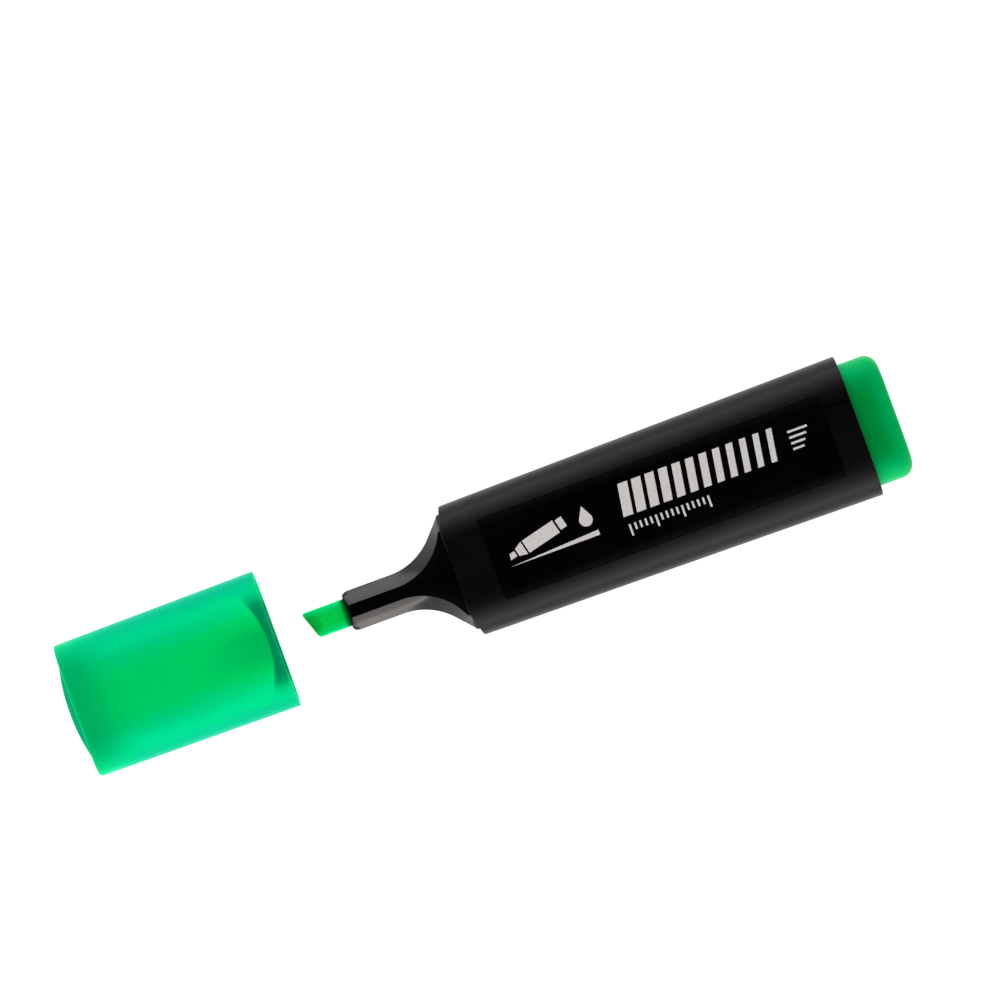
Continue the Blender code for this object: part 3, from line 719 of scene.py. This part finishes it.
def label_block(name, low, high, margin):
    """Layer over the label face between two heights from it, cut to the label's outline."""
    start, end = LABEL_LOW.x - FRONT - MM, LABEL_HIGH.x - FRONT + MM
    reach = LABEL_HIGH.y + 2 * MM
    rings = []
    for x in (start, end):
        across = [reach * (2 * step / FACE_STEPS - 1) for step in range(FACE_STEPS + 1)]
        top = [Vector((x, y, face_height(x, y) + high)) for y in across]
        bottom = [Vector((x, y, face_height(x, y) + low)) for y in reversed(across)]
        rings.append(top + bottom)
    layer = new_object(loft_mesh(name, rings), FRONT)
    low_corner = (LABEL_LOW.x - FRONT - margin, LABEL_LOW.y - margin, 0.4 * HALF_HEIGHT)
    high_corner = (LABEL_HIGH.x - FRONT + margin, LABEL_HIGH.y + margin, 1.6 * HALF_HEIGHT)
    outline = new_object(box_mesh("outline", low_corner, high_corner, LABEL_CORNER), FRONT)
    return carve(layer, (outline, 'INTERSECT'))


def make_label(material):
    top = LABEL_HIGH.z - AXIS_Z - HALF_HEIGHT
    label = label_block("label_film", top - LABEL_THICKNESS, top, 0.0)
    return dress(label, material, "pen", ("front_label",))


def bar(left, right, low, high, slope=0.0):
    """Corners of a bar that leans by slope."""
    return [(left + slope * low, low), (right + slope * low, low),
            (right + slope * high, high), (left + slope * high, high)]


def turned(outline, degrees, place):
    """Turn an outline and move its origin to a place."""
    cosine, sine = math.cos(math.radians(degrees)), math.sin(math.radians(degrees))
    return [(place[0] + x * cosine - y * sine, place[1] + x * sine + y * cosine) for x, y in outline]


def ink_drop(place, radius):
    """Round drop with a pointed top."""
    outline = [(place[0], place[1] + 2.1 * radius)]
    for step in range(19):
        turn = math.radians(150 + 240 * step / 18)
        outline.append((place[0] + radius * math.cos(turn), place[1] + radius * math.sin(turn)))
    return outline


def print_shapes():
    """Generic marks, in millimetres from the barrel's front edge and from the middle line."""
    # a small marker that draws a line, thin to thick, and a drop of ink
    marker = [
        [(0.0, -0.5), (1.3, -0.5), (1.3, 0.5), (0.4, 0.5)],
        [(1.6, -0.7), (3.0, -1.2), (3.0, 1.2), (1.6, 0.7)],
        bar(3.3, 9.4, -1.2, 1.2),
        bar(9.75, 11.0, -0.95, 0.95),
    ]
    shapes = [turned(outline, 14, (9.4, -0.7)) for outline in marker]
    shapes.append([(9.0, -2.25), (25.0, -2.25), (25.0, -1.35)])
    shapes.append(ink_drop((23.6, 0.9), 1.15))
    # a row of leaning strokes that get thinner
    strokes = 12
    for column in range(strokes):
        left = 29.8 + 2.4 * column
        shapes.append(bar(left, left + 1.75 - 0.75 * column / (strokes - 1), -0.9, 4.7, 0.16))
    # a ruler
    for tick in range(16):
        left = 30.0 + 0.93 * tick
        shapes.append(bar(left, left + 0.36, -4.3 if tick % 5 == 0 else -3.5, -2.3))
    # short lines of small print
    for row, right in enumerate((63.7, 63.2, 62.7, 62.2)):
        low = 2.85 - 1.0 * row
        shapes.append(bar(60.2, right, low, low + 0.38))
    return shapes


def make_print(material):
    """Raised ink on the label: one thin plate for each mark, bent to the face."""
    mesh = bmesh.new()
    top = LABEL_HIGH.z - AXIS_Z - HALF_HEIGHT
    for outline in print_shapes():
        layers = []
        for height in (top - PRINT_SINK, top + PRINT_PROUD):
            layers.append([mesh.verts.new((x * MM, y * MM, face_height(x * MM, y * MM) + height))
                           for x, y in outline])
        mesh.faces.new(layers[0])
        mesh.faces.new(layers[1])
        for index in range(len(outline)):
            after = (index + 1) % len(outline)
            mesh.faces.new((layers[0][index], layers[0][after], layers[1][after], layers[1][index]))
    item = new_object(finish_mesh("label_print", mesh), FRONT)
    return dress(item, material, "pen")


def nose_flare_rings():
    rings = []
    widest = math.asin(FLARE_LENGTH / FLARE_RADIUS)
    for step in range(FLARE_STEPS + 1):
        turn = widest * (1 - step / FLARE_STEPS)
        ahead = FLARE_LENGTH - FLARE_RADIUS * math.sin(turn)
        half_width = NECK_HALF + FLARE_RADIUS * (1 - math.cos(turn))
        spread = 1 - ahead / FLARE_LENGTH
        rise = (RIM_HALF_HEIGHT - NECK_HALF_HEIGHT) * spread ** SLOPE_POWER
        section = nose_section(half_width, NECK_HALF_HEIGHT + rise, spread)
        offset = (RIM_GAP + RIM_THICKNESS) * spread
        rings.append(ring(-ahead - offset, section, bow=spread ** 2))
    return rings


def make_nose(material):
    skirt_length = NOSE_HIGH.x - FRONT
    rings = [
        ring(skirt_length, oval(SKIRT_HALF - SKIRT_LEAD, SKIRT_HALF_HEIGHT - SKIRT_LEAD)),
        ring(skirt_length - MM, oval(SKIRT_HALF, SKIRT_HALF_HEIGHT)),
        ring(-RIM_GAP, oval(SKIRT_HALF, SKIRT_HALF_HEIGHT - SKIRT_LEAD), bow=1.0),
        ring(-RIM_GAP, nose_section(RIM_HALF, RIM_HALF_HEIGHT, 1.0), bow=1.0),
    ]
    rings += nose_flare_rings()
    for step in range(TIP_STEPS + 1):
        turn = math.pi / 2 * step / TIP_STEPS
        section = tip_section(1 - math.cos(turn))
        rings.append(ring(-NOSE_LENGTH + TIP_ROUND_LENGTH * (1 - math.sin(turn)), section))
    bore = rounded_box(NIB_HALF + BORE_CLEARANCE, NIB_HALF_HEIGHT + BORE_CLEARANCE, BORE_CORNER)
    rings += [
        ring(-NOSE_LENGTH, bore),
        ring(-0.6 * FLARE_LENGTH, bore),
        ring(-0.3 * FLARE_LENGTH, oval(1.25 * NECK_HALF, 0.95 * NECK_HALF_HEIGHT, NECK_HALF / 2)),
        ring(0.0, oval(SKIRT_HALF - 1.3 * SKIRT_WALL, SKIRT_HALF_HEIGHT - 1.3 * SKIRT_WALL)),
        ring(skirt_length, oval(SKIRT_HALF - SKIRT_WALL, SKIRT_HALF_HEIGHT - SKIRT_WALL)),
    ]
    nose = new_object(loft_mesh("nose_body", rings, endless=True), FRONT)
    return dress(nose, material, "pen", ("nose",), crease_degrees=24.0)


def nib_half_height(back):
    """Half thickness of the nib at a distance back from its slanted end."""
    if back >= NIB_BEVEL:
        return NIB_HALF_HEIGHT
    part = back / NIB_BEVEL
    return NIB_EDGE + (NIB_HALF_HEIGHT - NIB_EDGE) * part


def make_nib(material):
    """Felt chisel, roughened by its fibres."""
    length = NIB_HIGH.x - NIB_LOW.x
    shown = NIB_REACH + 2 * MM
    rings = []
    for step in range(NIB_RINGS + 1):
        back = shown * (step / NIB_RINGS) ** 1.25
        fade = max(0.0, 1 - back / shown)
        edge = max(0.0, 1 - back / (0.35 * MM)) ** 2
        ahead = max(0.0, 1 - back / NIB_TIP_ROUND)
        half_width = NIB_HALF - NIB_TIP_ROUND * (1 - math.sqrt(1 - ahead ** 2))
        half_height = nib_half_height(back) * (1 - 0.45 * edge)
        section = rounded_box(half_width, half_height, min(NIB_CORNER, 0.85 * half_height))
        points = []
        for y, z in section:
            x = back + fade ** 0.5 * NIB_SLANT * (0.5 - 0.5 * y / NIB_HALF)
            spot = Vector((x / 4, y, z)) / (0.16 * MM)
            fuzz = NIB_FUZZ * noise.noise(spot) * (1 - step / NIB_RINGS)
            scale = 1 + fuzz / max(math.hypot(y, z), 0.3 * MM)
            points.append(Vector((x + fuzz * edge, y * scale, z * scale)))
        rings.append(points)
    rings.append(ring(length, rounded_box(NIB_HALF, NIB_HALF_HEIGHT, NIB_CORNER)))
    nib = new_object(loft_mesh("nib_felt", rings), NIB_LOW.x)
    return dress(nib, material, "pen", ("nib",), crease_degrees=40.0)


def make_plug(material):
    end = PLUG_HIGH.x - BARREL_HIGH.x
    skirt = PLUG_LOW.x - BARREL_HIGH.x
    skirt_half = PLUG_HALF - PLUG_SKIRT_INSET
    rings = []
    for step in range(PLUG_ROUND_STEPS + 1):
        turn = math.pi / 2 * (1 - step / PLUG_ROUND_STEPS)
        half_width = PLUG_HALF - PLUG_ROUND * (1 - math.cos(turn))
        half_height = PLUG_HALF_HEIGHT - PLUG_FACE_ROUND * (1 - math.cos(turn))
        rings.append(ring(end - PLUG_ROUND * (1 - math.sin(turn)), oval(half_width, half_height)))
    rings += [
        ring(-MM, oval(PLUG_HALF, PLUG_HALF_HEIGHT)),
        ring(skirt, oval(skirt_half, PLUG_HALF_HEIGHT)),
        ring(skirt, oval(skirt_half - PLUG_WALL, PLUG_HALF_HEIGHT - PLUG_WALL)),
        ring(end - PLUG_ROUND, oval(PLUG_HALF - PLUG_WALL, PLUG_HALF_HEIGHT - PLUG_WALL)),
        ring(end - PLUG_WALL, oval(PLUG_HALF - PLUG_ROUND, PLUG_HALF_HEIGHT - PLUG_FACE_ROUND)),
    ]
    plug = new_object(loft_mesh("plug_body", rings), BARREL_HIGH.x)
    return dress(plug, material, "pen", ("tail_plug",))


# ---------------------------------------------------------------- cap pieces

def land_block(side):
    """Block that mills the flat land beside the cap's mouth, ending in an arc."""
    face_z = side * (HALF_HEIGHT - LAND_DEPTH)
    far_z = side * 1.5 * HALF_HEIGHT
    low = (-8 * MM, -CAP_MOUTH_HALF, min(face_z, far_z))
    high = (2 * MM, CAP_MOUTH_HALF, max(face_z, far_z))
    block = new_object(box_mesh("land", low, high), MOUTH)
    disc = new_object(cylinder_mesh("arc", LAND_RADIUS, 4 * HALF_HEIGHT, LAND_SEGMENTS),
                      MOUTH - LAND_SETBACK - LAND_RADIUS)
    return carve(block, (disc, 'DIFFERENCE'))


def make_cap(material):
    end = -CAP_LENGTH
    rim = end + CAP_RIM_SETBACK
    floor = end + CAP_END_INSIDE
    rim_inset = CAP_RIM_ROUND + CAP_RIM_WIDTH

    def outer(x):
        return lambda inset: oval(cap_half_width(x) - inset, HALF_HEIGHT - inset)

    rings = []
    first = 1 / DOME_STEPS
    for step in range(1, DOME_STEPS + 1):
        share = step / DOME_STEPS
        setback = CAP_GROOVE_SETBACK * (share ** 2 - first ** 2) / (1 - first ** 2)
        section = oval(DOME_HALF * share, DOME_HALF_HEIGHT * share, FLAT_HALF * share)
        rings.append(ring(end + setback, section))
    rings += [
        ring(end + CAP_GROOVE_SETBACK, outer(end)(rim_inset + 0.15 * MM)),
        ring(rim + 0.06 * MM, outer(end)(rim_inset + 0.02 * MM)),
        ring(rim, outer(end)(rim_inset - 0.06 * MM)),
    ]
    rings += edge_rings(rim, 1, CAP_RIM_ROUND, outer(end))
    for step in range(1, CAP_WALL_STEPS):
        x = (rim + CAP_RIM_ROUND) * (1 - step / CAP_WALL_STEPS)
        rings.append(ring(x, outer(x)(0.0)))
    rings += reversed(edge_rings(0.0, -1, CAP_MOUTH_ROUND, outer(0.0)))
    rings.append(ring(0.0, outer(0.0)(CAP_WALL)))
    for step in range(1, CAP_WALL_STEPS):
        x = (floor + CAP_INNER_ROUND) * step / CAP_WALL_STEPS
        rings.append(ring(x, outer(x)(CAP_WALL)))
    for step in range(EDGE_STEPS + 1):
        turn = math.pi / 2 * step / EDGE_STEPS
        x = floor + CAP_INNER_ROUND * (1 - math.sin(turn))
        rings.append(ring(x, outer(floor)(CAP_WALL + CAP_INNER_ROUND * (1 - math.cos(turn)))))
    rings += [
        ring(floor, circle(BOSS_RADIUS)),
        ring(floor + BOSS_LENGTH, circle(BOSS_RADIUS)),
    ]
    cap = new_object(loft_mesh("cap_body", rings), MOUTH)
    carve(cap, (land_block(1), 'DIFFERENCE'), (land_block(-1), 'DIFFERENCE'))
    return dress(cap, material, "cap", ("cap_shell",))


def make_sleeve(material):
    start, end = SLEEVE_LOW.x - SLEEVE_HIGH.x, 0.0
    radius = SLEEVE_HIGH.y
    rings = [
        ring(start, circle(radius)),
        ring(end - SLEEVE_ROUND, circle(radius)),
        ring(end - 0.3 * SLEEVE_ROUND, circle(radius - 0.3 * SLEEVE_ROUND)),
        ring(end, circle(radius - SLEEVE_ROUND)),
        ring(end, circle(SLEEVE_BORE)),
        ring(end - SLEEVE_BEAD_LENGTH, circle(SLEEVE_BEAD)),
        ring(end - 2 * SLEEVE_BEAD_LENGTH, circle(SLEEVE_BORE)),
        ring(start, circle(SLEEVE_BORE)),
    ]
    sleeve = new_object(loft_mesh("sleeve_body", rings, endless=True), SLEEVE_HIGH.x)
    return dress(sleeve, material, "cap", ("cap_seal_sleeve",))


# ---------------------------------------------------------------- studio

def make_floor():
    mesh = bmesh.new()
    bmesh.ops.create_grid(mesh, x_segments=1, y_segments=1, size=FLOOR_SIZE)
    data = bpy.data.meshes.new("floor")
    mesh.to_mesh(data)
    mesh.free()
    item = bpy.data.objects.new("floor", data)
    item.location.z = BARREL_LOW.z - FLOOR_GAP
    bpy.context.scene.collection.objects.link(item)
    n = Nodes("floor_white")
    n.set(Specular_IOR_Level=0.0, Roughness=1.0, Emission_Color=(1, 1, 1, 1),
          Emission_Strength=FLOOR_GLOW)
    n.colour(n.blend(n.noise(30), (0.42, 0.42, 0.42), (0.45, 0.45, 0.45)))
    data.materials.append(n.material)


def make_world():
    """Soft light from both sides of the pen, brighter and warmer from one, and dark overhead."""
    world = bpy.data.worlds.new("studio")
    world.use_nodes = True
    bpy.context.scene.world = world
    tree = world.node_tree
    background = tree.nodes["Background"]
    coordinates = tree.nodes.new("ShaderNodeTexCoord")
    split = tree.nodes.new("ShaderNodeSeparateXYZ")
    tree.links.new(coordinates.outputs["Generated"], split.inputs["Vector"])
    side = tree.nodes.new("ShaderNodeMapRange")
    side.interpolation_type = 'SMOOTHSTEP'
    side.inputs["From Min"].default_value = -SIDE_BLEND
    side.inputs["From Max"].default_value = SIDE_BLEND
    tree.links.new(split.outputs["Y"], side.inputs["Value"])
    tint = tree.nodes.new("ShaderNodeMix")
    tint.data_type = 'RGBA'
    tree.links.new(side.outputs["Result"], tint.inputs["Factor"])
    colours = [socket for socket in tint.inputs if socket.type == 'RGBA']
    colours[0].default_value = WARM_SIDE
    colours[1].default_value = COOL_SIDE
    sideways = tree.nodes.new("ShaderNodeMath")
    sideways.operation = 'ABSOLUTE'
    tree.links.new(split.outputs["Y"], sideways.inputs[0])
    level = tree.nodes.new("ShaderNodeMath")
    level.operation = 'POWER'
    level.inputs[1].default_value = SIDE_LIGHT_POWER
    tree.links.new(sideways.outputs["Value"], level.inputs[0])
    tree.links.new(next(s for s in tint.outputs if s.type == 'RGBA'), background.inputs["Color"])
    tree.links.new(level.outputs["Value"], background.inputs["Strength"])


def make_strip_light():
    """Long soft box, low on the warm side."""
    data = bpy.data.lights.new("strip", 'AREA')
    data.shape = 'RECTANGLE'
    data.size, data.size_y = STRIP_SIZE
    data.energy = STRIP_POWER
    data.color = STRIP_COLOUR
    light = bpy.data.objects.new("strip", data)
    light.location = STRIP_PLACE
    light.rotation_euler = (math.pi / 2, 0, 0)
    bpy.context.scene.collection.objects.link(light)


def make_camera():
    """Long lens straight above, rolled so that the pen rises to the right."""
    right = Vector((math.cos(VIEW_ROLL), -math.sin(VIEW_ROLL), 0))
    up = Vector((math.sin(VIEW_ROLL), math.cos(VIEW_ROLL), 0))
    back = Vector((0, 0, 1))
    middle = (cad_box[0] + cad_box[1]) / 2
    place = middle + AIM_RIGHT * right + AIM_UP * up + VIEW_DISTANCE * back
    data = bpy.data.cameras.new("camera")
    data.sensor_width = SENSOR
    data.lens = SENSOR * VIEW_DISTANCE / VIEW_WIDTH
    data.clip_start, data.clip_end = 0.05, 20.0
    camera = bpy.data.objects.new("camera", data)
    camera.matrix_world = Matrix.Translation(place) @ Matrix((right, up, back)).transposed().to_4x4()
    bpy.context.scene.collection.objects.link(camera)
    bpy.context.scene.camera = camera


def paint_node(name, material):
    """Give a CAD node that stays, inside the pen, its material."""
    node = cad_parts[name]
    node.data.materials.clear()
    node.data.materials.append(material)


def build():
    make_camera()
    make_floor()
    make_world()
    make_strip_light()
    make_barrel(satin_black())
    make_label(label_film())
    make_print(white_ink())
    make_nose(gloss_black())
    make_nib(green_felt())
    make_plug(opaque_green())
    make_cap(translucent_green())
    make_sleeve(soft_green())
    paint_node("reservoir_core", inked_fibre())
    paint_node("reservoir_sheath", clear_film())
    bpy.context.scene.view_settings.view_transform = 'Standard'


build()
